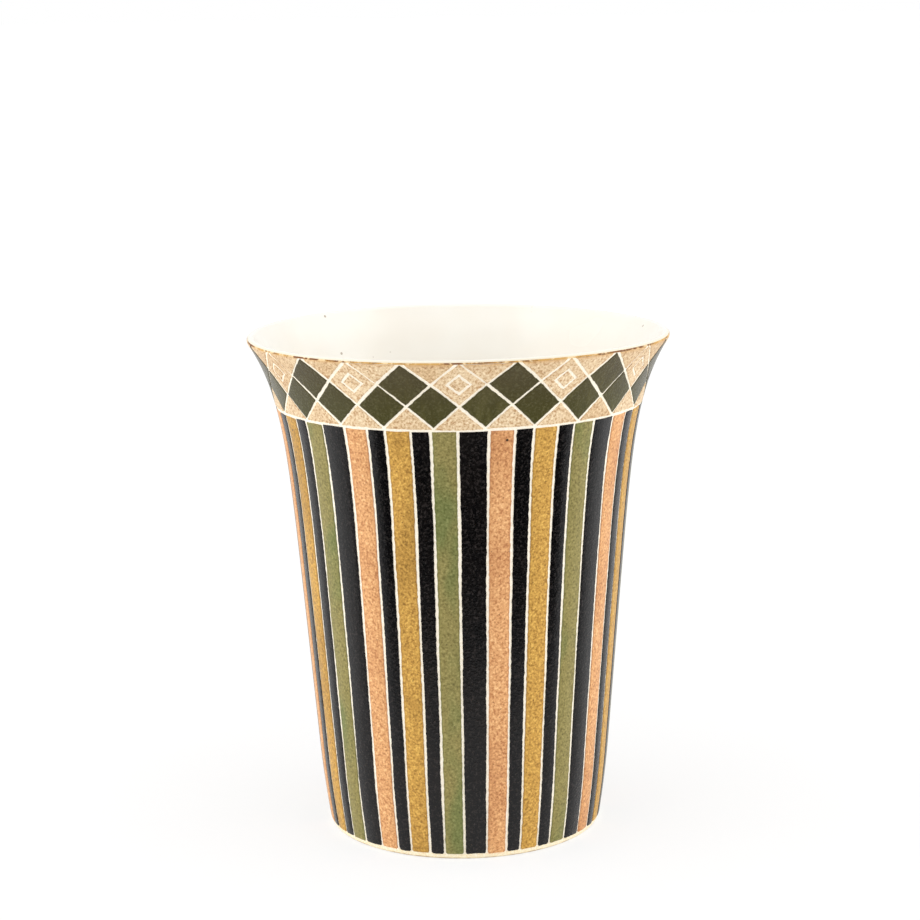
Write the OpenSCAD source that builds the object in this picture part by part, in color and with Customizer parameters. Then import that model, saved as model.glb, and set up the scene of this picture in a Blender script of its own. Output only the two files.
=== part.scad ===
// Ceramic beaker without a handle: a tapered stoneware wall that flares into a thin rounded lip.
// Coloured slips lie on the outside in upright stripes, under a border of lozenges. The lines
// between them are carved down to the pale clay. A pale glaze lines the inside and covers the lip.
// Millimetres, +Z up. The origin is the centre of the foot's resting face.

/* [Vessel] */
// Overall height, from the table to the top of the lip
height = 108; // [100:1:118]
// Largest diameter, over the flared lip
lip_d = 90; // [86:1:96]
// Diameter that the straight taper has at the table
heel_d = 60.6; // [56:0.2:64]
// Diameter that the straight taper would reach at the lip's height
shoulder_d = 78; // [74:0.5:81]
// Power of the flare: a higher one keeps the wall straight for longer
flare_power = 10; // [8:1:12]
// How far the wall draws in at the heel
tuck = 0.75; // [0:0.05:1.5]
// Height over which the wall draws in at the heel
tuck_h = 18; // [12:1:26]

/* [Wall] */
// Thickness of the whole wall near the floor
wall_t = 3.4; // [2.8:0.1:4.5]
// Radius of the rounded lip
lip_r = 0.8; // [0.7:0.1:1.2]
// Lean of the wall at the lip, away from upright, in degrees
lip_lean = 30; // [24:1:36]
// Height of the glazed floor inside, above the table
floor_z = 6; // [5:0.5:9]
// Radius of the hollow corner between the wall and the floor, inside
well_r = 9; // [5:1:12]

/* [Foot] */
// Radius of the rounded outer edge of the foot
heel_r = 1; // [0.8:0.1:2]
// Width of the resting ring
foot_w = 4.5; // [3:0.5:7]
// Depth of the turned hollow under the floor
recess_h = 1; // [0.6:0.1:2]
// Width of the slope from the resting ring up into the hollow
recess_slope = 1; // [0.5:0.5:3]

/* [Slips and glaze] */
// Thickness of the slips, of the glaze and of the iron line
skin_t = 0.3; // [0.2:0.05:0.4]
// Width of a carved line
line_w = 0.65; // [0.4:0.05:0.8]
// Where the glaze stops outside the lip, in degrees above the lip's widest point
glaze_stop = 30; // [24:1:40]
// Where the iron line starts, in degrees above the lip's widest point
line_start = 7; // [0:1:16]

/* [Stripes] */
// Bare clay between the rounded heel and the stripes
bare_h = 0.3; // [0.2:0.1:2]
// Number of stripe sets around the cup, each with three colours
sets = 8; // [5:1:8]
// Width of a coloured stripe, halfway up
colour_w = 4.1; // [3:0.1:4.6]
// Width of the two slim black stripes in each set, halfway up
slim_black_w = 2.9; // [1.5:0.1:3]

/* [Border] */
// Height of the border, up to the iron line
border_h = 13.8; // [10:0.1:16]
// Number of lozenges in each row around the cup
lozenges = 24; // [18:2:30]
// Size of the small lozenge carved inside an uncoloured one, as a share of it
core_share = 0.42; // [0.36:0.02:0.5]

/* [Hidden] */
$fn = 180;

// The lip is a half circle that carries on the wall's lean.
lip_centre = [lip_d / 2 - lip_r, height - lip_r];
lip_edge_z = lip_centre.y - lip_r * sin(lip_lean);
lip_edge_r = lip_centre.x + lip_r * cos(lip_lean);
lip_wall = 2 * lip_r / cos(lip_lean);
lip_step_a = 10;
function lip_point(radius, angle) = lip_centre + radius * [cos(angle), sin(angle)];
function lip_arc(radius, from, to) =
    let (steps = ceil((to - from) / lip_step_a))
        [for (i = [0:steps]) lip_point(radius, from + (to - from) * i / steps)];

// The outside of the cup at a height: a straight taper, a flare and a tuck at the heel.
function taper(z) = (heel_d + (shoulder_d - heel_d) * z / height) / 2;
flare = lip_edge_r - taper(lip_edge_z);
function outside(z) = taper(z) + flare * pow(z / lip_edge_z, flare_power)
    - tuck * pow(max(0, 1 - z / tuck_h), 2);
function clay_outside(z) = outside(z) - skin_t;
function inside(z) = outside(z) - lip_wall - (wall_t - lip_wall) * (1 - z / lip_edge_z);
function clay_inside(z) = inside(z) + skin_t;

// Heights at which the wall's curve has a point, for the stripes and for the border.
stripe_base = heel_r + bare_h;
border_top = lip_point(lip_r, line_start).y;
border_base = border_top - border_h;
stripe_top = border_base - line_w;
stripe_steps = 12;
border_steps = 6;
stripe_levels = [for (i = [0:stripe_steps]) stripe_base + (stripe_top - stripe_base) * i / stripe_steps];
border_levels = [for (i = [0:border_steps]) border_base + (lip_edge_z - border_base) * i / border_steps];

// The clay is parted behind the carved line between stripes and border, where the flare sets in.
rim_z = stripe_top + line_w / 2;
body_levels = concat(stripe_levels, [rim_z]);
rim_levels = concat([rim_z], border_levels);
wall_levels = concat(stripe_levels, rim_levels);

// The hollow corner inside, from the wall down to the floor.
well_z = floor_z + well_r;
well_centre = [inside(well_z) - well_r, well_z];
well_steps = 10;
function well_arc(radius) =
    [for (i = [0:well_steps]) let (a = -90 * i / well_steps) well_centre + radius * [cos(a), sin(a)]];
inside_levels = [for (i = [len(wall_levels) - 1:-1:0]) if (wall_levels[i] > well_z) wall_levels[i]];

// The foot: a rounded heel, a flat resting ring and a shallow turned hollow.
heel_centre = [clay_outside(heel_r) - heel_r, heel_r];
heel_steps = 6;
heel_arc = [for (i = [0:heel_steps]) let (a = -90 + 90 * i / heel_steps)
    heel_centre + heel_r * [cos(a), sin(a)]];
ring_in = heel_centre.x - foot_w;

// Angles of the stripes. Each set is a broad black, then three colours with slim blacks between.
mid_r = outside((stripe_base + stripe_top) / 2);
function width_angle(w) = w / mid_r * 180 / PI;
line_a = width_angle(line_w);
colour_a = width_angle(colour_w);
slim_a = width_angle(slim_black_w);
set_a = 360 / sets;
broad_a = set_a - 3 * colour_a - 2 * slim_a - 6 * line_a;
terracotta_at = broad_a + line_a;
pair_a = colour_a + slim_a + 2 * line_a;
ochre_at = terracotta_at + pair_a;
green_at = ochre_at + pair_a;

// The lattice of the border: cells in four rows, the lowest and highest cut in half by its edges.
// It runs half a carved line past the top edge, so that no corner of a cell falls right on it.
cell_a = 360 / lozenges;
row_h = (border_h + line_w / 2) / 3;

// A list of points without its first, where another list has already placed that one.
function rest(points) = [for (i = [1:len(points) - 1]) points[i]];

// A closed section between two lists of points.
function band(outer_points, inner_points) =
    concat(outer_points, [for (i = [len(inner_points) - 1:-1:0]) inner_points[i]]);

// The outer and inner side of a slip layer over the given heights, upwards.
function slip_outer(levels) = [for (z = levels) [outside(z), z]];
function slip_inner(levels) = [for (z = levels) [clay_outside(z), z]];

// The inner side of the clay over the given heights, downwards as far as the hollow corner.
function clay_inner(levels) =
    [for (i = [len(levels) - 1:-1:0]) if (levels[i] > well_z) [clay_inside(levels[i]), levels[i]]];

// The section of the border's slip, which goes on around the lip up to the iron line.
border_section = band(
    concat(slip_outer(border_levels), rest(lip_arc(lip_r, -lip_lean, line_start))),
    concat(slip_inner(border_levels), lip_arc(lip_r - skin_t, -lip_lean, line_start)));

// One upright stripe in every set.
module stripes(at, angle) {
    for (i = [0:sets - 1])
        rotate([0, 0, i * set_a + at])
            rotate_extrude(angle = angle)
                polygon(band(slip_outer(stripe_levels), slip_inner(stripe_levels)));
}

// A lozenge on its side, set in from its cell's edges, at a share of its size.
module lozenge(half_w, half_h, inset, share = 1) {
    reach = share - inset * norm([half_w, half_h]) / (half_w * half_h);
    polygon(reach * [[half_w, 0], [0, half_h], [-half_w, 0], [0, -half_h]]);
}

// The slip on one cell of the border. An uncoloured lozenge has a smaller one carved into it.
module border_cell(row, column, cored = false) {
    z = border_base + row * row_h;
    half_w = min(outside(z), lip_d / 2) * sin(cell_a / 2);
    rotate([0, 0, (column + row / 2) * cell_a])
        intersection() {
            rotate([0, 0, -cell_a / 2])
                rotate_extrude(angle = cell_a)
                    polygon(border_section);
            translate([0, 0, z])
                rotate([90, 0, 90])
                    linear_extrude(height = lip_d)
                        if (cored) {
                            difference() {
                                lozenge(half_w, row_h, line_w / 2);
                                lozenge(half_w, row_h, -line_w / 2, core_share);
                            }
                            lozenge(half_w, row_h, line_w / 2, core_share);
                        } else {
                            lozenge(half_w, row_h, line_w / 2);
                        }
        }
}

// Thrown stoneware up to the flare: turned foot, floor and tapered wall.
module clay_body() {
    color("#eadfc8")
        rotate_extrude()
            polygon(concat(
                [[0, recess_h], [ring_in - recess_slope, recess_h], [ring_in, 0]],
                heel_arc,
                slip_inner(body_levels),
                clay_inner(body_levels),
                well_arc(well_r + skin_t),
                [[0, floor_z - skin_t]]));
}

// The flared rim of the same clay, with the rounded lip.
module clay_rim() {
    color("#eadfc8")
        rotate_extrude()
            polygon(concat(
                slip_inner(rim_levels),
                lip_arc(lip_r - skin_t, -lip_lean, line_start),
                rest(lip_arc(lip_r - skin_t, line_start, glaze_stop)),
                rest(lip_arc(lip_r - skin_t, glaze_stop, 180 - lip_lean)),
                clay_inner(rim_levels)));
}

// Pale glaze over the floor, the inside of the wall and the lip.
module liner_glaze() {
    color("#fbf7ec")
        rotate_extrude()
            polygon(band(
                concat(
                    lip_arc(lip_r, glaze_stop, 180 - lip_lean),
                    [for (z = inside_levels) [inside(z), z]],
                    well_arc(well_r),
                    [[0, floor_z]]),
                concat(
                    lip_arc(lip_r - skin_t, glaze_stop, 180 - lip_lean),
                    clay_inner(wall_levels),
                    well_arc(well_r + skin_t),
                    [[0, floor_z - skin_t]])));
}

// Iron line around the outside of the lip, between the border and the glaze.
module lip_line() {
    color("#7a4a22")
        rotate_extrude()
            polygon(band(
                lip_arc(lip_r, line_start, glaze_stop),
                lip_arc(lip_r - skin_t, line_start, glaze_stop)));
}

// Sandy slip of the border: the half cells and every other lozenge of the upper row.
module border_ground() {
    color("#dcc096")
        for (column = [0:lozenges - 1]) {
            border_cell(0, column);
            border_cell(3, column);
            if (column % 2 == 1)
                border_cell(2, column, cored = true);
        }
}

// Dark olive slip: the lower row of lozenges and the rest of the upper row.
module border_lozenges() {
    color("#4d5138")
        for (column = [0:lozenges - 1]) {
            border_cell(1, column);
            if (column % 2 == 0)
                border_cell(2, column);
        }
}

// Black slip: one broad and two slim stripes in each set.
module black_stripes() {
    color("#1e1c1c") {
        stripes(0, broad_a);
        stripes(terracotta_at + colour_a + line_a, slim_a);
        stripes(ochre_at + colour_a + line_a, slim_a);
    }
}

module green_stripes() {
    color("#7d8648")
        stripes(green_at, colour_a);
}

module ochre_stripes() {
    color("#bd9444")
        stripes(ochre_at, colour_a);
}

module terracotta_stripes() {
    color("#d29a6c")
        stripes(terracotta_at, colour_a);
}

clay_body();
clay_rim();
liner_glaze();
lip_line();
border_ground();
border_lozenges();
black_stripes();
green_stripes();
ochre_stripes();
terracotta_stripes();
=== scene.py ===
# %% [markdown]
# # A stoneware beaker with carved slip
# The cup is a thrown beaker with no handle. Its outside is painted with coloured slips, which are
# clays thinned with water, and the lines between the colours are carved through to the pale body.
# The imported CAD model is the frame: it says where every layer lies, and nothing here moves it. Its
# layers could simply be given colours, but their edges are as straight as a drawing's. So each layer
# is modelled again in finer detail at the same place, and stands for its CAD node.

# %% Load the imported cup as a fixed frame
import math

import bmesh
import bpy
from mathutils import Euler, Matrix, Vector, noise


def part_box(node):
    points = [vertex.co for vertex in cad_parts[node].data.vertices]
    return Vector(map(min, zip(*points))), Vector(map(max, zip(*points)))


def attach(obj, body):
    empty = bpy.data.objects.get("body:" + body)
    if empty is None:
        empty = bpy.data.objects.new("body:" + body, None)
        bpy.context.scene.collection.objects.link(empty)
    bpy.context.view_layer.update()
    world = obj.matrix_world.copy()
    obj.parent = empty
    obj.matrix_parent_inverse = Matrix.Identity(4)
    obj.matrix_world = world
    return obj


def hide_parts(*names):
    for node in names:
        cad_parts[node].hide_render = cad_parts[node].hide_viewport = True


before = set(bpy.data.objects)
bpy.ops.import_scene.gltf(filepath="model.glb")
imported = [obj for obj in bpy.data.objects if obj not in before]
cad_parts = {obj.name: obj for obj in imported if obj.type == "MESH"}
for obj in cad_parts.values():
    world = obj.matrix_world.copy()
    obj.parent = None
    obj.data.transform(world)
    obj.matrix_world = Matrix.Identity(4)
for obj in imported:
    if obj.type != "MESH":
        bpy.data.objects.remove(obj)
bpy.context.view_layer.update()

MM = 0.001

# %% [markdown]
# ## The sizes
# Heights that the CAD model settles are read from the boxes of its nodes. They could be typed in
# again, but a change to the model would then leave the scene behind. The numbers that shape the
# curve between them are the potter's own dimensions, in millimetres, as a drawing gives them.

# %% Read the heights and state the pot's dimensions
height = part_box("liner_glaze")[1].z
lip_radius = max(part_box(node)[1].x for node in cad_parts)
stripe_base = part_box("black_stripes")[0].z
stripe_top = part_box("black_stripes")[1].z
border_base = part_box("border_ground")[0].z
border_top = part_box("border_ground")[1].z
clay_floor_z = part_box("liner_glaze")[0].z
clay_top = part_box("clay_rim")[1].z

heel_d = 60.6 * MM
shoulder_d = 78 * MM
flare_power = 10
tuck = 0.75 * MM
tuck_h = 18 * MM
wall_t = 3.4 * MM
lip_round = 0.8 * MM
lip_lean = math.radians(30)
well_round = 9 * MM
heel_round = 1 * MM
foot_w = 4.5 * MM
recess_h = 1 * MM
recess_slope = 1 * MM
glaze_t = height - clay_top
glaze_stop = math.radians(30)
line_start = math.radians(7)
slip_t = 0.14 * MM
print("stripes from", round(stripe_base / MM, 2), "to", round(stripe_top / MM, 2), "mm")

# %% [markdown]
# ## The curve of the wall
# A beaker like this is thrown as a cone and then flared at the rim with a rib. So the outside is a
# straight taper, plus a flare that grows with a high power of the height, less a small tuck where
# the heel was trimmed. The lip is a half circle that carries on the flare. The curve could be a list
# of measured points, but a formula is smooth at any number of points and can be asked for its slope.
# The cell measures how far the CAD stripes stand proud of it.

# %% Outside and inside of the wall at a height
lip_centre = Vector((lip_radius - lip_round, 0, height - lip_round))
lip_edge_r = lip_centre.x + lip_round * math.cos(lip_lean)
lip_edge_z = lip_centre.z - lip_round * math.sin(lip_lean)
lip_wall = 2 * lip_round / math.cos(lip_lean)


def taper(z):
    return (heel_d + (shoulder_d - heel_d) * z / height) / 2


flare = lip_edge_r - taper(lip_edge_z)


def outside(z):
    if z > lip_edge_z:
        return lip_centre.x + math.sqrt(lip_round ** 2 - (z - lip_centre.z) ** 2)
    drawn_in = tuck * max(0, 1 - z / tuck_h) ** 2
    return taper(z) + flare * (max(z, 0) / lip_edge_z) ** flare_power - drawn_in


def slope(z):
    step = 0.01 * MM
    return (outside(z + step) - outside(z - step)) / (2 * step)


heel_centre = Vector((outside(heel_round) - slip_t - heel_round, 0, heel_round))
ring_in = heel_centre.x - foot_w


def clay_outside(z):
    if z < heel_round:
        return heel_centre.x + math.sqrt(heel_round ** 2 - (heel_round - max(z, 0)) ** 2)
    return outside(z) - slip_t


def inside(z):
    return outside(z) - lip_wall - (wall_t - lip_wall) * (1 - z / lip_edge_z)


def clay_inside(z):
    return inside(z) + glaze_t


cad_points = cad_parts["black_stripes"].data.vertices
proud = max(v.co.xy.length - outside(v.co.z) for v in cad_points)
print("CAD stripes stand proud of the formula by at most", round(proud / MM, 3), "mm")

# %% [markdown]
# ## The potter's hand
# A thrown rim is never quite level: as it dries it pulls into a shallow saddle, here about a fifth
# of a millimetre up and down. It could be pushed in by hand with proportional editing, piece by
# piece. A formula of angle and height bends every layer alike, so they stay seated on each other.

# %% A shallow saddle that grows towards the lip
saddle_h = 0.18 * MM
saddle_turn = math.radians(225)
saddle_power = 4


def settle(point):
    around = math.atan2(point.y, point.x)
    lift = saddle_h * math.cos(2 * around - saddle_turn) * (max(point.z, 0) / height) ** saddle_power
    return Vector((point.x, point.y, point.z + lift))


front_lip = settle(Vector((0, -lip_radius, height)))
print("lip rises by", round((front_lip.z - height) / MM, 2), "mm in front")

# %% [markdown]
# ## Shader sums in Python
# A finish is easiest to read as a sum, such as 1 - mask. Nodes could be added and linked one by one,
# but a short sum then takes a page. This class wraps a node's socket, so that Python's operators add
# Math nodes. Any other node comes from its one node method, which sets the node's own settings first
# and then its sockets, by value or by wire. A Wire with no socket is the way into a new tree.

# %% A socket that can be used in sums
class Wire:
    def __init__(self, tree, socket=None):
        self.tree = tree
        self.socket = socket

    def node(self, kind, settings, sockets, output=0):
        made = self.tree.nodes.new(kind)
        for name, value in settings.items():
            setattr(made, name, value)
        for name, value in sockets.items():
            if isinstance(value, Wire):
                self.tree.links.new(value.socket, made.inputs[name])
            else:
                made.inputs[name].default_value = value
        return Wire(self.tree, made.outputs[output])

    def sibling(self, output):
        return Wire(self.tree, self.socket.node.outputs[output])

    def math(self, operation, first, second):
        return self.node("ShaderNodeMath", {"operation": operation}, {0: first, 1: second})

    def __add__(self, other):
        return self.math("ADD", self, other)

    def __radd__(self, other):
        return self.math("ADD", other, self)

    def __sub__(self, other):
        return self.math("SUBTRACT", self, other)

    def __rsub__(self, other):
        return self.math("SUBTRACT", other, self)

    def __mul__(self, other):
        return self.math("MULTIPLY", self, other)

    def __rmul__(self, other):
        return self.math("MULTIPLY", other, self)

    def __lt__(self, other):
        return self.math("LESS_THAN", self, other)

    def __abs__(self):
        return self.node("ShaderNodeMath", {"operation": "ABSOLUTE"}, {0: self})

    def ease(self, low, high):
        sockets = {"Value": self, "From Min": low, "From Max": high}
        return self.node("ShaderNodeMapRange", {"interpolation_type": "SMOOTHSTEP"}, sockets)

    def blend(self, first, second):
        return self.node("ShaderNodeMix", {"data_type": "RGBA"}, {0: self, 6: first, 7: second}, 2)


print("Wire takes + - * < and abs, and the reflected forms of + - *")

# %% [markdown]
# ## Parts that every finish shares
# Fired clay is never one colour: it has fine grain, slow drifts of tone, and specks where iron bled
# through. A painted image could hold them, but it would need seams and a fixed sharpness. Textures on
# Object coordinates are in metres, so a grain of half a millimetre is that wide on every piece, close
# up too. Colours are written as a screen shows them, from 0 to 255, and paint makes them linear.

# %% Colours and the shader
def paint(red, green, blue):
    def linear(level):
        share = level / 255
        return share / 12.92 if share <= 0.04045 else ((share + 0.055) / 1.055) ** 2.4
    return linear(red), linear(green), linear(blue), 1.0


def new_finish(name):
    material = bpy.data.materials.new(name)
    material.use_nodes = True
    return material, material.node_tree.nodes["Principled BSDF"]


def stain(shade, colour, mask, strength=1.0):
    return (mask * strength).blend(shade, paint(*colour))


def between(low, high, wire):
    return low + wire * (high - low)


def dress(shader, colour, roughness, relief, depth, gloss):
    links = colour.tree.links
    sockets = {"Height": relief, "Strength": 1.0, "Distance": depth}
    bump = relief.node("ShaderNodeBump", {}, sockets, "Normal")
    links.new(colour.socket, shader.inputs["Base Color"])
    links.new(roughness.socket, shader.inputs["Roughness"])
    links.new(bump.socket, shader.inputs["Normal"])
    shader.inputs["Specular IOR Level"].default_value = gloss


print("white clay as a shader number:", round(paint(252, 240, 222)[0], 3))

# %% Places, grain and specks
speck_core = 0.7
speck_fringe = 1.2


def place_on(material):
    return Wire(material.node_tree).node("ShaderNodeTexCoord", {}, {}, "Object")


def stretched(place, scale):
    return place.node("ShaderNodeMapping", {"vector_type": "POINT"}, {"Vector": place, "Scale": scale})


def height_of(place):
    return place.node("ShaderNodeSeparateXYZ", {}, {"Vector": place}, "Z")


def from_axis(place):
    flat = stretched(place, (1, 1, 0))
    return place.node("ShaderNodeVectorMath", {"operation": "LENGTH"}, {0: flat}, "Value")


def grain(place, size, detail=2.0, rough=0.5):
    sockets = {"Vector": place, "Scale": 1 / size, "Detail": detail, "Roughness": rough}
    return place.node("ShaderNodeTexNoise", {"noise_dimensions": "3D"}, sockets, "Fac")


def specks(place, spacing, radius, share):
    sockets = {"Vector": place, "Scale": 1 / spacing}
    cell = place.node("ShaderNodeTexVoronoi", {"feature": "F1"}, sockets)
    chance = place.node("ShaderNodeSeparateColor", {"mode": "RGB"}, {"Color": cell.sibling("Color")})
    reach = radius / spacing
    return (1 - cell.ease(reach * speck_core, reach * speck_fringe)) * (chance < share)


print("a speck fades out at", speck_fringe, "times its radius")

# %% [markdown]
# ## The coloured slips
# In the photograph the colours look sandy: each has grains about half a millimetre wide, some paler
# and some darker, under a thin satin glaze. The tone drifts along a stripe and from one stripe to the
# next, because slip goes on by brush, and it is browner right at a carved edge. Noise alone can't know
# where a stripe starts and ends. So each field carries two numbers of its own as mesh attributes: a
# tone, which shifts the drift, and how far a point lies across the stripe, which finds the edge.

# %% One recipe for a grainy slip
sand_w = 0.5 * MM
dark_grains = (0.35, 0.50)
light_grains = (0.52, 0.67)
brush_w = 9 * MM
brush_pull = (1, 1, 0.45)
drift_span = 0.24
field_shift = 0.16
edge_brown = (0.84, 1.0)
edge_ragged = 0.3
edge_strength = 0.5
scorch_from = border_top - 0.3 * MM
scorch_to = border_top + 0.7 * MM
scorch_ragged = 0.8 * MM
scorch_strength = 0.7
freckles = {"spacing": 1.2 * MM, "radius": 0.16 * MM, "share": 0.42}
freckle_strength = 0.7
iron_blots = {"spacing": 9 * MM, "radius": 0.30 * MM, "share": 0.16}
blot_brown = (70, 44, 24)
swell_w = 2.2 * MM
swell_weight = 1.5
sand_relief = 0.035 * MM


def attribute(place, name):
    return place.node("ShaderNodeAttribute", {"attribute_name": name}, {}, "Fac")


def mottled(fine, tones):
    dark, middle, light = (paint(*tone) for tone in tones)
    return fine.ease(*light_grains).blend(fine.ease(*dark_grains).blend(dark, middle), light)


def slip_finish(name, tones, drifted, speck, drift_from=0.40, toasted=None):
    material, shader = new_finish(name)
    place = place_on(material)
    fine = grain(place, sand_w, detail=3.0, rough=0.6)
    slow = grain(stretched(place, brush_pull), brush_w)
    drift = slow + (attribute(place, "tone") - 0.5) * field_shift
    drifting = drift.ease(drift_from, drift_from + drift_span)
    shade = drifting.blend(mottled(fine, tones), mottled(fine, drifted))
    edge = attribute(place, "across") + (fine - 0.5) * edge_ragged
    shade = stain(shade, drifted[0], edge.ease(*edge_brown), edge_strength)
    if toasted:
        scorched = height_of(place) + fine * scorch_ragged
        shade = stain(shade, toasted, scorched.ease(scorch_from, scorch_to), scorch_strength)
    shade = stain(shade, speck, specks(place, **freckles), freckle_strength)
    shade = stain(shade, blot_brown, specks(place, **iron_blots))
    relief = fine + grain(place, swell_w) * swell_weight
    dress(shader, shade, between(0.40, 0.56, fine), relief, sand_relief, gloss=0.40)
    return material


print("a grain of slip is", round(sand_w / MM, 2), "mm wide")

# %% The four grainy slips
terracotta_slip = slip_finish(
    "terracotta_coat", [(184, 122, 73), (221, 163, 108), (246, 198, 141)],
    drifted=[(170, 107, 64), (205, 145, 93), (230, 174, 117)], speck=(130, 78, 43))
ochre_slip = slip_finish(
    "ochre_coat", [(156, 112, 40), (199, 151, 67), (229, 185, 91)],
    drifted=[(140, 102, 36), (180, 135, 56), (208, 162, 76)], speck=(104, 70, 24))
green_slip = slip_finish(
    "green_coat", [(114, 103, 52), (141, 130, 73), (163, 151, 92)],
    drifted=[(92, 100, 45), (114, 119, 63), (136, 140, 82)], speck=(74, 68, 32), drift_from=0.49)
sandy_slip = slip_finish(
    "sandy_coat", [(186, 143, 98), (224, 197, 158), (246, 226, 193)],
    drifted=[(174, 130, 86), (213, 181, 138), (236, 209, 169)], speck=(136, 92, 54),
    toasted=(208, 160, 98))
print("slips made:", [m.name for m in (terracotta_slip, ochre_slip, green_slip, sandy_slip)])

# %% [markdown]
# The black and the dark olive are denser: a fine grit in place of the sandy mottle, faint brushed
# streaks that run up the cup, and a satin surface that goes grey where light grazes it. The sandy
# recipe could be bent to that, but a short one of their own is easier to read. A Mapping node with a
# small scale along Z pulls the noise out into streaks.

# %% The two dark slips
streak_w = 1.6 * MM
streak_pull = (1, 1, 0.12)
streak_shift = 0.2
streak_range = (0.45, 0.85)
streak_strength = 0.7
upper_strength = 0.6
grit_w = 0.55 * MM
grit_range = (0.50, 0.68)
grit_weight = 1.5
grit_relief = 0.06 * MM
dust_specks = {"spacing": 1.4 * MM, "radius": 0.13 * MM, "share": 0.45}
dust_strength = 0.6


def dark_slip_finish(name, base, streak, upper, dust, grit, gloss):
    material, shader = new_finish(name)
    place = place_on(material)
    brushed = grain(stretched(place, streak_pull), streak_w, detail=3.0, rough=0.6)
    fine = grain(place, grit_w, detail=3.0, rough=0.65)
    streaked = (brushed + attribute(place, "tone") * streak_shift).ease(*streak_range)
    shade = stain(paint(*base), streak, streaked, streak_strength)
    near_lip = height_of(place).ease(border_base, border_top)
    shade = stain(shade, upper, near_lip, upper_strength)
    shade = stain(shade, dust, fine.ease(*grit_range), grit)
    shade = stain(shade, dust, specks(place, **dust_specks), dust_strength)
    dress(shader, shade, between(0.18, 0.36, fine), fine * grit_weight + brushed, grit_relief, gloss)
    return material


black_slip = dark_slip_finish(
    "black_coat", (4, 3, 4), (20, 15, 13), upper=(4, 3, 4), dust=(72, 64, 62), grit=0.36, gloss=0.31)
olive_slip = dark_slip_finish(
    "olive_coat", (70, 67, 34), (92, 88, 50), upper=(74, 62, 43), dust=(112, 108, 76),
    grit=0.3, gloss=0.18)
print("dark slips made:", black_slip.name, olive_slip.name)

# %% [markdown]
# ## Clay, glaze and iron line
# Where the slip is carved away the body shows as pale cream. At the foot it is bare and the fire has
# toasted it to buff, with a thin brown line where the thin outer glaze stops. Underneath, the recess
# inside the foot ring is painted in darker, warmer blotches: partly an uneven flame blush, partly
# painted shade that sets the ring off from the recess. These could be three materials on three
# patches, but fire leaves no sharp border. So one finish reads how high a point is and how far it is
# from the axis, and blends.

# %% The bare stoneware
clay_grain_w = 0.4 * MM
clay_grains = (0.35, 0.65)
clay_relief = 0.03 * MM
buff_below = 0.9 * stripe_base
cream_above = 1.15 * stripe_base
brown_line_z = 0.12 * heel_round
brown_line_core = 0.06 * MM
brown_line_fade = 0.2 * MM
brown_line_wander = 0.3 * MM
brown_line_strength = 0.7
wander_w = 4 * MM
break_w = 3 * MM
blotch_w = 16 * MM
clay_specks = {"spacing": 3 * MM, "radius": 0.16 * MM, "share": 0.4}
clay_speck_strength = 0.7


def clay_finish():
    material, shader = new_finish("bare_clay")
    place = place_on(material)
    up = height_of(place)
    out = from_axis(place)
    fine = grain(place, clay_grain_w, detail=3.0, rough=0.6)
    sandy = fine.ease(*clay_grains)
    cream = sandy.blend(paint(248, 237, 215), paint(255, 248, 234))
    buff = sandy.blend(paint(250, 231, 192), paint(255, 247, 224))
    shade = up.ease(buff_below, cream_above).blend(buff, cream)
    line_at = brown_line_z + grain(place, wander_w) * brown_line_wander
    on_heel = out.ease(heel_centre.x - heel_round, heel_centre.x)
    near_line = (1 - abs(up - line_at).ease(brown_line_core, brown_line_fade)) * on_heel
    unbroken = grain(place, break_w).ease(0.38, 0.62)
    shade = stain(shade, (168, 124, 74), near_line * unbroken, brown_line_strength)
    # The recess inside the foot ring is painted darker and warmer in blotches: a flame blush plus
    # painted shade that sets the ring off.
    recess_shade_mask = 1 - out.ease(ring_in - recess_slope, ring_in)
    blush_and_shade = between(0.25, 0.55, grain(place, blotch_w).ease(0.30, 0.72))
    shade = stain(shade, (229, 196, 148), recess_shade_mask * blush_and_shade)
    shade = stain(shade, (120, 78, 44), specks(place, **clay_specks), clay_speck_strength)
    dress(shader, shade, between(0.72, 0.87, fine), fine, clay_relief, gloss=0.25)
    return material


pale_clay = clay_finish()
print("bare clay made:", pale_clay.name)

# %% [markdown]
# The liner is an ivory glaze with a soft gloss. It pools and thins a little, so its tone drifts, and
# a few pinholes and brown specks show. It runs thin round the outside of the lip, where the warm clay
# shines through. A clear coat over clay could give that depth, but the glaze is nearly opaque, so a
# blend to a warmer tone is enough.

# %% The ivory glaze
pool_w = 16 * MM
pool_range = (0.35, 0.7)
thin_from = lip_centre.x + 0.1 * lip_round
thin_to = lip_centre.x + 0.8 * lip_round
thin_strength = 0.9
iron_specks = {"spacing": 5.5 * MM, "radius": 0.34 * MM, "share": 0.60}
iron_speck_strength = 0.65
pinholes = {"spacing": 4 * MM, "radius": 0.18 * MM, "share": 0.30}
pinhole_strength = 0.5
pinhole_depth = 0.5
peel_w = 3.5 * MM
peel_relief = 0.04 * MM


def glaze_finish():
    material, shader = new_finish("ivory_gloss")
    place = place_on(material)
    drift = grain(place, pool_w)
    holes = specks(place, **pinholes)
    shade = drift.ease(*pool_range).blend(paint(253, 250, 242), paint(251, 246, 236))
    shade = stain(shade, (236, 226, 202), from_axis(place).ease(thin_from, thin_to), thin_strength)
    shade = stain(shade, (150, 126, 98), specks(place, **iron_specks), iron_speck_strength)
    shade = stain(shade, (188, 176, 160), holes, pinhole_strength)
    relief = grain(place, peel_w, detail=1.0) - holes * pinhole_depth
    dress(shader, shade, between(0.20, 0.30, drift), relief, peel_relief, gloss=0.5)
    return material


ivory_glaze = glaze_finish()
print("glaze made:", ivory_glaze.name)

# %% [markdown]
# The iron line is a wash of rust that the glaze has broken up: a wandering stroke that fades to the
# sandy slip in places. Alpha could cut holes in it, but a blend to the colour of the slip looks the
# same at this width and bakes with no holes.

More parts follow.
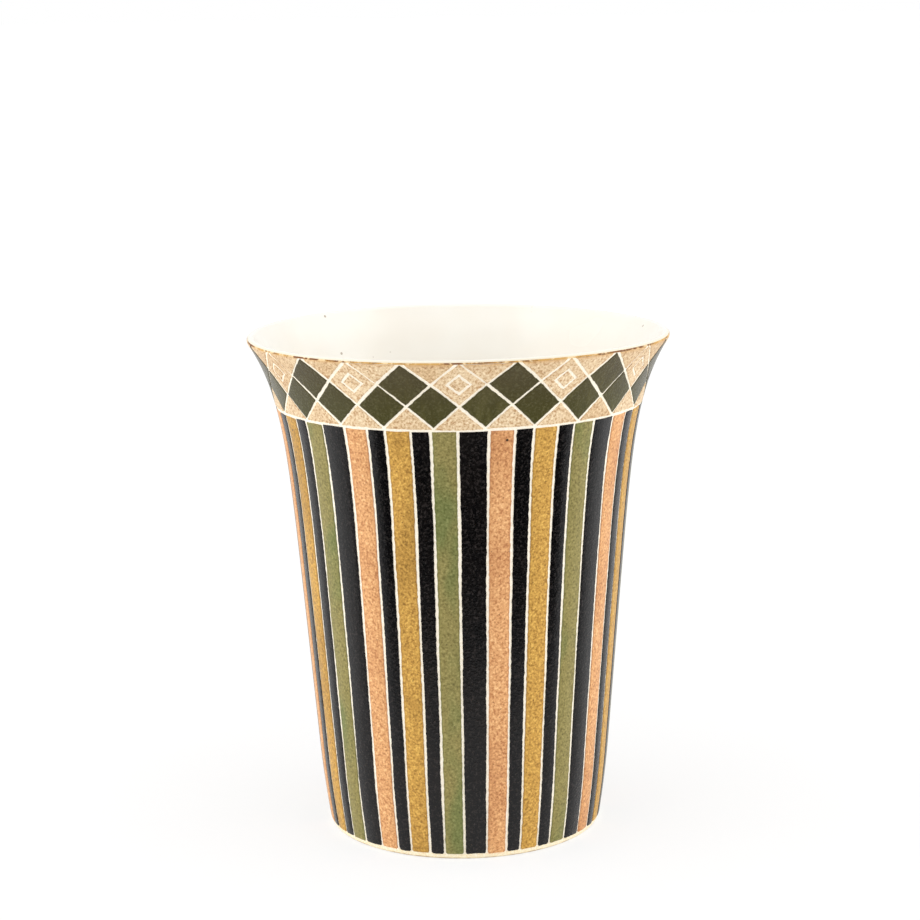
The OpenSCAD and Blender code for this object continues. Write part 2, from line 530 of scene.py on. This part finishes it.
# %% The iron line's wash
wash_grain_w = 0.4 * MM
wash_w = 5 * MM
wash_ragged = 0.3
gap_w = 1.8 * MM
wash_relief = 0.03 * MM


def iron_finish():
    material, shader = new_finish("rust_wash")
    place = place_on(material)
    fine = grain(place, wash_grain_w)
    drift = grain(place, wash_w) + (fine - 0.5) * wash_ragged
    rust = drift.ease(0.38, 0.60).blend(paint(208, 162, 92), paint(128, 80, 44))
    unbroken = grain(place, gap_w, detail=3.0, rough=0.6).ease(0.38, 0.50)
    shade = unbroken.blend(paint(236, 208, 160), rust)
    dress(shader, shade, between(0.55, 0.75, fine), fine, wash_relief, gloss=0.2)
    return material


iron_line = iron_finish()
print("line made:", iron_line.name)

# %% [markdown]
# ## Turning a profile
# Clay body, glaze and iron line are bodies of revolution, as a wheel makes them. A Screw modifier
# could turn them too, but it leaves the seam and the pole to be mended. Here a chain of vertices is
# the profile, and bmesh's spin turns it once around, merging the seam. Points on the axis come out as
# many copies in one place, so doubles are merged before the normals are mended.

# %% Helpers that turn a profile and finish a piece
turn_steps = 288
weld = 0.002 * MM
smooth_angle = math.radians(35)


def turned(profile, closed=False):
    bm = bmesh.new()
    chain = [bm.verts.new(point) for point in profile]
    ends = chain + chain[:1] if closed else chain
    edges = [bm.edges.new(pair) for pair in zip(ends, ends[1:])]
    bmesh.ops.spin(
        bm, geom=chain + edges, axis=(0, 0, 1), cent=(0, 0, 0),
        angle=math.tau, steps=turn_steps, use_merge=True)
    bmesh.ops.remove_doubles(bm, verts=bm.verts, dist=weld)
    bmesh.ops.recalc_face_normals(bm, faces=bm.faces)
    for v in bm.verts:
        v.co = settle(v.co)
    return bm


def piece(name, bm, material, *nodes):
    mesh = bpy.data.meshes.new(name)
    bm.to_mesh(mesh)
    bm.free()
    mesh.materials.append(material)
    mesh.shade_smooth()
    mesh.set_sharp_from_angle(angle=smooth_angle)
    obj = bpy.data.objects.new(name, mesh)
    bpy.context.scene.collection.objects.link(obj)
    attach(obj, "root")
    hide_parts(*nodes)
    print(name, "has", len(mesh.polygons), "faces")


# %% [markdown]
# ## The clay body
# The profile starts on the axis under the foot, goes round the resting ring and the heel, up the
# outside, over the lip, down the inside and back to the axis on the floor. The foot's hollow is what
# a trimming tool leaves when the pot is turned upside down on the wheel, with the rings that its tip
# scratches. A bump could fake those, but rings in the mesh hold up close by and in the export. The
# CAD model parts the clay into a body and a rim for its collision shapes; here it is one piece, as
# thrown.

# %% Helpers that walk along a profile
def levels(low, high, steps):
    return [low + (high - low) * i / steps for i in range(steps + 1)]


def up_wall(radius_at, heights):
    return [Vector((radius_at(z), 0, z)) for z in heights]


def across_floor(height_at, radii):
    return [Vector((r, 0, height_at(r))) for r in radii]


def arc(centre, radius, start, end, steps):
    angles = levels(start, end, steps)
    return [centre + radius * Vector((math.cos(a), 0, math.sin(a))) for a in angles]


quarter = math.pi / 2
lip_inside = math.pi - lip_lean
print("the lip turns through", round(math.degrees(lip_inside - glaze_stop)), "degrees")

# %% Turn the clay body
scratch_h = 0.08 * MM
scratch_pitch = 1.9 * MM
recess_steps = 56
heel_steps = 8
wall_steps = 96
edge_steps = 6
seat_steps = 3
lip_steps = 10
inner_steps = 60
well_steps = 12

clay_lip_round = lip_round - glaze_t
floor_z = clay_floor_z + glaze_t
well_z = floor_z + well_round
well_centre = Vector((inside(well_z) - well_round, 0, well_z))
inner_levels = levels(lip_edge_z, well_z, inner_steps)


def trimmed(r):
    return recess_h + scratch_h * (1 - math.cos(math.tau * r / scratch_pitch)) / 2


clay_profile = across_floor(trimmed, levels(0, ring_in - recess_slope, recess_steps))
clay_profile += [Vector((ring_in, 0, 0))]
clay_profile += arc(heel_centre, heel_round, -quarter, 0, heel_steps)
clay_profile += up_wall(clay_outside, levels(stripe_base, lip_edge_z, wall_steps))
clay_profile += up_wall(clay_outside, levels(lip_edge_z, border_top, edge_steps)[1:])
clay_profile += arc(lip_centre, lip_round - slip_t, line_start, glaze_stop, seat_steps)[1:]
clay_profile += arc(lip_centre, clay_lip_round, glaze_stop, lip_inside, lip_steps)
clay_profile += up_wall(clay_inside, inner_levels)
clay_profile += arc(well_centre, well_round + glaze_t, 0, -quarter, well_steps)[1:]
clay_profile += [Vector((0, 0, clay_floor_z))]
piece("clay_vessel", turned(clay_profile), pale_clay, "clay_body", "clay_rim")

# %% [markdown]
# ## The glaze lining
# Glaze is poured in, swirled and poured out, so it covers floor, wall and lip and stops in an edge
# outside the lip. The fingers that opened the floor and raised the wall leave throwing rings, which
# the glaze softens to ripples of a few hundredths of a millimetre. They only show as faint bands in
# its gloss. The lining could be a Solidify modifier on the clay's inside, but its edge would then be
# square, and its ripples those of the clay. So it has a profile of its own: out along the clay, and
# back along the glossy side.

# %% Turn the glaze lining
ripple_h = 0.035 * MM
ripple_pitch = 6.5 * MM
gloss_arc_steps = 16
gloss_wall_steps = 90
gloss_floor_steps = 30


def glazed_inside(z):
    return inside(z) + ripple_h * math.sin(math.tau * z / ripple_pitch)


def glazed_floor(r):
    return floor_z - ripple_h * (1 - math.cos(math.tau * (well_centre.x - r) / ripple_pitch))


glaze_profile = [Vector((0, 0, clay_floor_z))]
glaze_profile += arc(well_centre, well_round + glaze_t, -quarter, 0, well_steps)
glaze_profile += up_wall(clay_inside, inner_levels[::-1])[1:]
glaze_profile += arc(lip_centre, clay_lip_round, lip_inside, glaze_stop, lip_steps)
glaze_profile += arc(lip_centre, lip_round, glaze_stop, lip_inside, gloss_arc_steps)
glaze_profile += up_wall(glazed_inside, levels(lip_edge_z, well_z, gloss_wall_steps))
glaze_profile += arc(well_centre, well_round, 0, -quarter, gloss_arc_steps)[1:]
glaze_profile += across_floor(glazed_floor, levels(well_centre.x, 0, gloss_floor_steps)[1:])
piece("ivory_lining", turned(glaze_profile), ivory_glaze, "liner_glaze")

# %% [markdown]
# ## The iron line
# A narrow ring sits between the border and the edge of the glaze. It could be a colour on the clay,
# but a brushed stroke stands off and catches light. So it is a thin closed ring of its own, turned
# like the rest, with an outside that bulges by two hundredths of a millimetre.

# %% Turn the iron line
line_bulge = 0.02 * MM
stroke_steps = 4
line_out = arc(lip_centre, lip_round + line_bulge, line_start, glaze_stop, stroke_steps)
line_in = arc(lip_centre, lip_round - slip_t, glaze_stop, line_start, stroke_steps)
piece("rust_line", turned(line_out + line_in, closed=True), iron_line, "lip_line")

# %% [markdown]
# ## Slip fields, cut flat and wrapped round
# It is hard to model a carved pattern on a curved wall, and easy on paper. So each field of slip is
# laid out flat, with X as the way round the cup and Y as the height, and raised by the thickness of
# the slip with its upper edge softened. Two noises then nudge its outline: a slow one, for the hand
# that guides the knife, and a quick one, for the grains that break out of the edge. They start from a
# seed, because Blender would otherwise start them from the clock and cut each run anew. Slip creeps a
# little over the cut as it melts, so a carved line ends up slightly narrower than the knife. Last,
# every vertex is wrapped on to the wall: X becomes an angle, Y a height, and Z stands off along the
# normal. The normals are mended while a field is still flat: that is a guess from its outline, which
# holds for a flat plate and can fail on a thin curved one.

# %% Lay flat fields and raise them
edge_soft = 0.05 * MM
edge_segments = 2
upright_below = 0.5
tone_walk = (1.37, 0.61, 5.5)


def sheet_of_fields():
    bm = bmesh.new()
    bm.verts.layers.float.new("tone")
    bm.verts.layers.float.new("across")
    return bm


def mark_tone(bm, verts, number):
    walk_x, walk_y, start_z = tone_walk
    tone = noise.cell(Vector((number * walk_x, number * walk_y, start_z)))
    for v in verts:
        v[bm.verts.layers.float["tone"]] = tone


def raise_fields(bm):
    grown = bmesh.ops.extrude_face_region(bm, geom=bm.faces[:])["geom"]
    top = {g for g in grown if isinstance(g, bmesh.types.BMVert)}
    bmesh.ops.translate(bm, verts=list(top), vec=(0, 0, slip_t))
    bmesh.ops.recalc_face_normals(bm, faces=bm.faces)
    upright = {e for f in bm.faces if abs(f.normal.z) < upright_below for e in f.edges}
    rim = [e for e in upright if e.verts[0] in top and e.verts[1] in top]
    bmesh.ops.bevel(
        bm, geom=rim, offset=edge_soft, offset_type="OFFSET", segments=edge_segments,
        profile=0.5, affect="EDGES", material=-1)


print("slip stands", round(slip_t / MM, 2), "mm above the carved lines")

# %% Cut them by hand and wrap them round
sway_size = 13 * MM
nick = 0.12 * MM
nick_size = 0.65 * MM
seed_spread = 90
hand_seed = 7
noise.seed_set(hand_seed)


def cut_by_hand(bm, sway):
    tone = bm.verts.layers.float["tone"]
    for v in bm.verts:
        seed = v[tone] * seed_spread
        slow = noise.noise_vector(Vector((v.co.x / sway_size, v.co.y / sway_size, seed)))
        quick = noise.noise_vector(Vector((v.co.x / nick_size, v.co.y / nick_size, seed)))
        nudge = slow * sway + quick * nick
        v.co.x += nudge.x
        v.co.y += nudge.y


def wrap_round(bm, unrolled_r):
    for v in bm.verts:
        around = v.co.x / unrolled_r
        z = v.co.y
        lean = math.atan(slope(z))
        r = clay_outside(z) + v.co.z * math.cos(lean)
        point = Vector((r * math.cos(around), r * math.sin(around), z - v.co.z * math.sin(lean)))
        v.co = settle(point)


def slip_piece(name, bm, unrolled_r, sway, material, node):
    raise_fields(bm)
    cut_by_hand(bm, sway)
    wrap_round(bm, unrolled_r)
    piece(name, bm, material, node)


print("an edge breaks out by up to about", round(nick / MM, 2), "mm")

# %% [markdown]
# ## The stripes
# Upright stripes go round in sets: a broad black, then terracotta, ochre and green with slim blacks
# between them. A stripe could be a plain box, but its edges couldn't waver. So a field is a grid,
# long and narrow, with a row about every third of a millimetre, and its lower corners are drawn in
# to a small round. The widths are those of the CAD stripes, halfway up the wall.

# %% One stripe
stripe_sets = 8
line_w = border_base - stripe_top
colour_w = 4.1 * MM
slim_w = 2.9 * MM
mid_r = outside((stripe_base + stripe_top) / 2)
set_w = math.tau * mid_r / stripe_sets
broad_w = set_w - 3 * colour_w - 2 * slim_w - 6 * line_w
stripe_rows = 300
stripe_columns = 2
unit_half = 0.5
creep = 0.05 * MM
corner_round = 0.3 * MM
stripe_sway = 0.14 * MM


def stripe_field(bm, number, left, width):
    centre = Vector((left + width / 2, (stripe_base + stripe_top + creep) / 2, 0))
    spread_w = width + 2 * creep
    size = Matrix.Diagonal((spread_w, stripe_top + creep - stripe_base, 1, 1))
    made = bmesh.ops.create_grid(
        bm, x_segments=stripe_columns, y_segments=stripe_rows, size=unit_half,
        matrix=Matrix.Translation(centre) @ size)
    mark_tone(bm, made["verts"], number)
    for v in made["verts"]:
        share = (v.co.x - centre.x) / (spread_w / 2)
        v[bm.verts.layers.float["across"]] = abs(share)
        to_foot = v.co.y - stripe_base
        if to_foot < corner_round:
            drawn_in = corner_round - math.sqrt(corner_round ** 2 - (corner_round - to_foot) ** 2)
            v.co.x -= share * drawn_in


print("a broad black is", round(broad_w / MM, 2), "mm wide")

# %% Lay out the stripes
def stripes(name, bands, material, node, first_number):
    bm = sheet_of_fields()
    number = first_number
    for i in range(stripe_sets):
        for left, width in bands:
            stripe_field(bm, number, i * set_w + left, width)
            number += 1
    slip_piece(name, bm, mid_r, stripe_sway, material, node)


terracotta_at = broad_w + line_w
ochre_at = terracotta_at + colour_w + slim_w + 2 * line_w
green_at = ochre_at + colour_w + slim_w + 2 * line_w
black_bands = [(0, broad_w)]
black_bands += [(at + colour_w + line_w, slim_w) for at in (terracotta_at, ochre_at)]
stripes(
    "terracotta_fields", [(terracotta_at, colour_w)], terracotta_slip, "terracotta_stripes",
    first_number=0)
stripes("ochre_fields", [(ochre_at, colour_w)], ochre_slip, "ochre_stripes", first_number=20)
stripes("green_fields", [(green_at, colour_w)], green_slip, "green_stripes", first_number=40)
stripes("black_fields", black_bands, black_slip, "black_stripes", first_number=60)

# %% [markdown]
# ## The lozenge border
# Under the lip runs a lattice of lozenges, an old border of many countries. Cells could be cut out of
# one band with a knife, but each then has other corners and edges. Here every cell is one square
# grid, turned on its corner and scaled, so that its rows run along its own edges. Cells of the lowest
# and highest row lie across the border's edge, where two bisect cuts halve them. A sandy lozenge with
# a core starts as a single face, inset twice: the first ring stays, the second is the carved line.

# %% The cells of the border
lozenges = 24
border_rows = 3
core_share = 0.42
cell_steps = 16
ring_cuts = 7
row_numbers = 100
border_h = border_top - border_base
row_h = (border_h + line_w / 2) / border_rows
border_r = outside(border_base + border_h / 2)
half_w = math.pi * border_r / lozenges
inner_r = half_w * row_h / math.hypot(half_w, row_h)
carved_w = line_w - 2 * creep
reach = 1 - carved_w / 2 / inner_r
core_frame_w = inner_r * (1 - core_share) - carved_w


def cell_grid(bm, row, column, steps):
    centre = Vector(((2 * column + row) * half_w, border_base + row * row_h, 0))
    size = Matrix.Diagonal((math.sqrt(2) * half_w * reach, math.sqrt(2) * row_h * reach, 1, 1))
    on_corner = Matrix.Translation(centre) @ size @ Matrix.Rotation(math.pi / 4, 4, "Z")
    made = bmesh.ops.create_grid(
        bm, x_segments=steps, y_segments=steps, size=unit_half, matrix=on_corner)
    return made["verts"]


def plain_cell(bm, row, column):
    verts = cell_grid(bm, row, column, cell_steps)
    mark_tone(bm, verts, row_numbers * row + column)


def inset(bm, face, width):
    ring = bmesh.ops.inset_individual(bm, faces=[face], thickness=width, use_even_offset=True)
    return ring["faces"]


def cored_cell(bm, row, column):
    face = cell_grid(bm, row, column, 1)[0].link_faces[0]
    kept = inset(bm, face, core_frame_w)
    carved = inset(bm, face, carved_w)
    bmesh.ops.delete(bm, geom=carved, context="FACES_ONLY")
    bmesh.ops.delete(bm, geom=[e for e in bm.edges if e.is_wire], context="EDGES")
    edges = {e for f in kept + [face] for e in f.edges}
    bmesh.ops.subdivide_edges(bm, edges=list(edges), cuts=ring_cuts, use_grid_fill=True)
    mark_tone(bm, {v for e in edges for v in e.verts}, row_numbers * row + column)


print("a cell is", round(2 * half_w / MM, 2), "by", round(2 * row_h / MM, 2), "mm")

# %% Trim the border and wrap it round
border_sway = 0.24 * MM
cut_reach = 0.001 * MM


def trim_to_border(bm):
    for at, side in ((border_base - creep, -1), (border_top, 1)):
        everything = bm.verts[:] + bm.edges[:] + bm.faces[:]
        bmesh.ops.bisect_plane(
            bm, geom=everything, dist=cut_reach, plane_co=(0, at, 0), plane_no=(0, side, 0),
            clear_outer=True)


sandy_bm = sheet_of_fields()
for column in range(lozenges):
    plain_cell(sandy_bm, 0, column)
    plain_cell(sandy_bm, border_rows, column)
trim_to_border(sandy_bm)
for column in range(1, lozenges, 2):
    cored_cell(sandy_bm, 2, column)
slip_piece("sandy_fields", sandy_bm, border_r, border_sway, sandy_slip, "border_ground")

olive_bm = sheet_of_fields()
for column in range(lozenges):
    plain_cell(olive_bm, 1, column)
    if column % 2 == 0:
        plain_cell(olive_bm, 2, column)
slip_piece("olive_fields", olive_bm, border_r, border_sway, olive_slip, "border_lozenges")

# %% [markdown]
# ## The table and the sky
# The photograph is high-key: a white table that runs into a white background, with a soft shadow on
# both sides. More light would whiten the table, but it would bleach the cup as well. So rays that
# reach the eye, straight or by a reflection, see the sky as white and the table as mostly white. The
# shadow stays but goes pale, as in an overexposed picture, and the cup isn't lit by that.

# %% Lay a pale table
table_r = 30
table_sides = 96
table_tint = (0.90, 0.90, 0.89, 1)
white_share = 0.7


def grey(level):
    return level, level, level, 1


def seen_by_eye(tree):
    straight = Wire(tree).node("ShaderNodeLightPath", {}, {}, "Is Camera Ray")
    return straight + straight.sibling("Is Glossy Ray") + straight.sibling("Is Transmission Ray")


def on_stage(name, bm, material):
    mesh = bpy.data.meshes.new(name)
    bm.to_mesh(mesh)
    bm.free()
    mesh.materials.append(material)
    obj = bpy.data.objects.new(name, mesh)
    bpy.context.scene.collection.objects.link(obj)
    return obj


table_white, table_shader = new_finish("table_white")
seen = seen_by_eye(table_white.node_tree)
table_colour = seen.blend(table_tint, grey(1 - white_share))
table_glow = seen.blend(grey(0), grey(white_share))
table_white.node_tree.links.new(table_colour.socket, table_shader.inputs["Base Color"])
table_white.node_tree.links.new(table_glow.socket, table_shader.inputs["Emission Color"])
table_shader.inputs["Emission Strength"].default_value = 1.0
table_shader.inputs["Roughness"].default_value = 0.7
table_shader.inputs["Specular IOR Level"].default_value = 0.0
table_bm = bmesh.new()
bmesh.ops.create_circle(table_bm, cap_ends=True, segments=table_sides, radius=table_r)
on_stage("table", table_bm, table_white)
print("table is", 2 * table_r, "m across")

# %% Hang an even sky
sky_level = 0.76
sky = bpy.data.worlds.new("studio_sky")
sky.use_nodes = True
sky_shader = sky.node_tree.nodes["Background"]
sky_shader.inputs["Color"].default_value = grey(1)
sky_strength = between(sky_level, 1, seen_by_eye(sky.node_tree))
sky.node_tree.links.new(sky_strength.socket, sky_shader.inputs["Strength"])
bpy.context.scene.world = sky
print("sky lights the cup at", sky_level, "and is seen as 1")

# %% [markdown]
# ## The lamps
# Under an even sky alone the cup would look flat. Two sun lamps as broad as softboxes give it its
# roundness, and a third in front reaches the back of the inside. Area lamps could do that, but they
# fade with distance, while suns light the whole table alike. Two low panels beside the cup brighten
# its flanks and foot; they are lower than the lip, so the inside stays even.

# %% Three soft suns and two low panels
sun_spread = math.radians(80)
panel_away = 300 * MM
panel_up = 45 * MM
panel_w = 250 * MM
panel_h = 80 * MM


def direction(azimuth, elevation):
    a = math.radians(azimuth)
    e = math.radians(elevation)
    return Vector((math.sin(a) * math.cos(e), -math.cos(a) * math.cos(e), math.sin(e)))


def hang(name, lamp, towards):
    obj = bpy.data.objects.new(name, lamp)
    obj.rotation_euler = towards.to_track_quat("Z", "Y").to_euler()
    bpy.context.scene.collection.objects.link(obj)
    return obj


def soft_sun(name, azimuth, elevation, strength):
    lamp = bpy.data.lights.new(name, "SUN")
    lamp.energy = strength
    lamp.angle = sun_spread
    hang(name, lamp, direction(azimuth, elevation))


def low_panel(name, azimuth, power):
    lamp = bpy.data.lights.new(name, "AREA")
    lamp.shape = "RECTANGLE"
    lamp.size = panel_w
    lamp.size_y = panel_h
    lamp.energy = power
    towards = direction(azimuth, 0)
    obj = hang(name, lamp, towards)
    obj.location = towards * panel_away + Vector((0, 0, panel_up))
    obj.visible_camera = False
    obj.visible_glossy = False


soft_sun("left_softbox", azimuth=-80, elevation=32, strength=0.80)
soft_sun("right_softbox", azimuth=80, elevation=32, strength=0.70)
soft_sun("front_softbox", azimuth=0, elevation=35, strength=0.38)
low_panel("left_panel", azimuth=-80, power=0.20)
low_panel("right_panel", azimuth=80, power=0.18)

# %% [markdown]
# ## The black card
# Satin black mirrors what stands before it, and with white all round it would look grey. A darker
# colour can't mend that, because the grey is a reflection. So photographers bend a black card around
# the front of a dark pot: the front stays deep, while the flanks pick up the white table. Here only
# glossy rays meet the card, so it can stand in front of the camera. It takes no light from the cup
# and casts no shadow, and no view shows the card itself.

# %% Bend a black card around the front
card_r = 120 * MM
card_h = 500 * MM
card_left = math.radians(-144)
card_right = math.radians(-22)
card_steps = 48
card_black, card_shader = new_finish("card_black")
card_shader.inputs["Base Color"].default_value = paint(28, 28, 28)
card_shader.inputs["Specular IOR Level"].default_value = 0.0
card_bm = bmesh.new()
card_foot = Vector((card_r * math.cos(card_left), card_r * math.sin(card_left), 0))
card_edge = [card_bm.verts.new(card_foot), card_bm.verts.new(card_foot + Vector((0, 0, card_h)))]
bmesh.ops.spin(
    card_bm, geom=card_edge + [card_bm.edges.new(card_edge)], axis=(0, 0, 1), cent=(0, 0, 0),
    angle=card_right - card_left, steps=card_steps)
card = on_stage("black_card", card_bm, card_black)
card.visible_camera = False
card.visible_diffuse = False
card.visible_transmission = False
card.visible_shadow = False
print("card bends round", round(math.degrees(card_right - card_left)), "degrees")

# %% [markdown]
# ## The camera
# The view was worked out by fitting the cup's outline in the photograph: a camera half a metre away,
# above the lip and tilted down, with a long lens and less than a degree of roll. It could be set by
# eye, but a few millimetres then show as another width of the lip's ellipse.

# %% Camera at the photograph's view
photo_px = 920
focal_px = 2363
sensor_w = 36
camera_back = 500.8 * MM
camera_up = 176.5 * MM
pitch = math.radians(-10.93)
roll = math.radians(-0.87)
nearest = 10 * MM
farthest = 100

lens = bpy.data.cameras.new("photo_camera")
lens.sensor_width = sensor_w
lens.lens = sensor_w * focal_px / photo_px
lens.clip_start = nearest
lens.clip_end = farthest
camera = bpy.data.objects.new("photo_camera", lens)
camera.location = (0, -camera_back, camera_up)
aim = Euler((quarter + pitch, 0, 0)).to_matrix() @ Matrix.Rotation(roll, 3, "Z")
camera.rotation_euler = aim.to_euler()
bpy.context.scene.collection.objects.link(camera)
bpy.context.scene.camera = camera
bpy.context.scene.view_settings.view_transform = "Standard"
print("lens, mm:", round(lens.lens, 1))
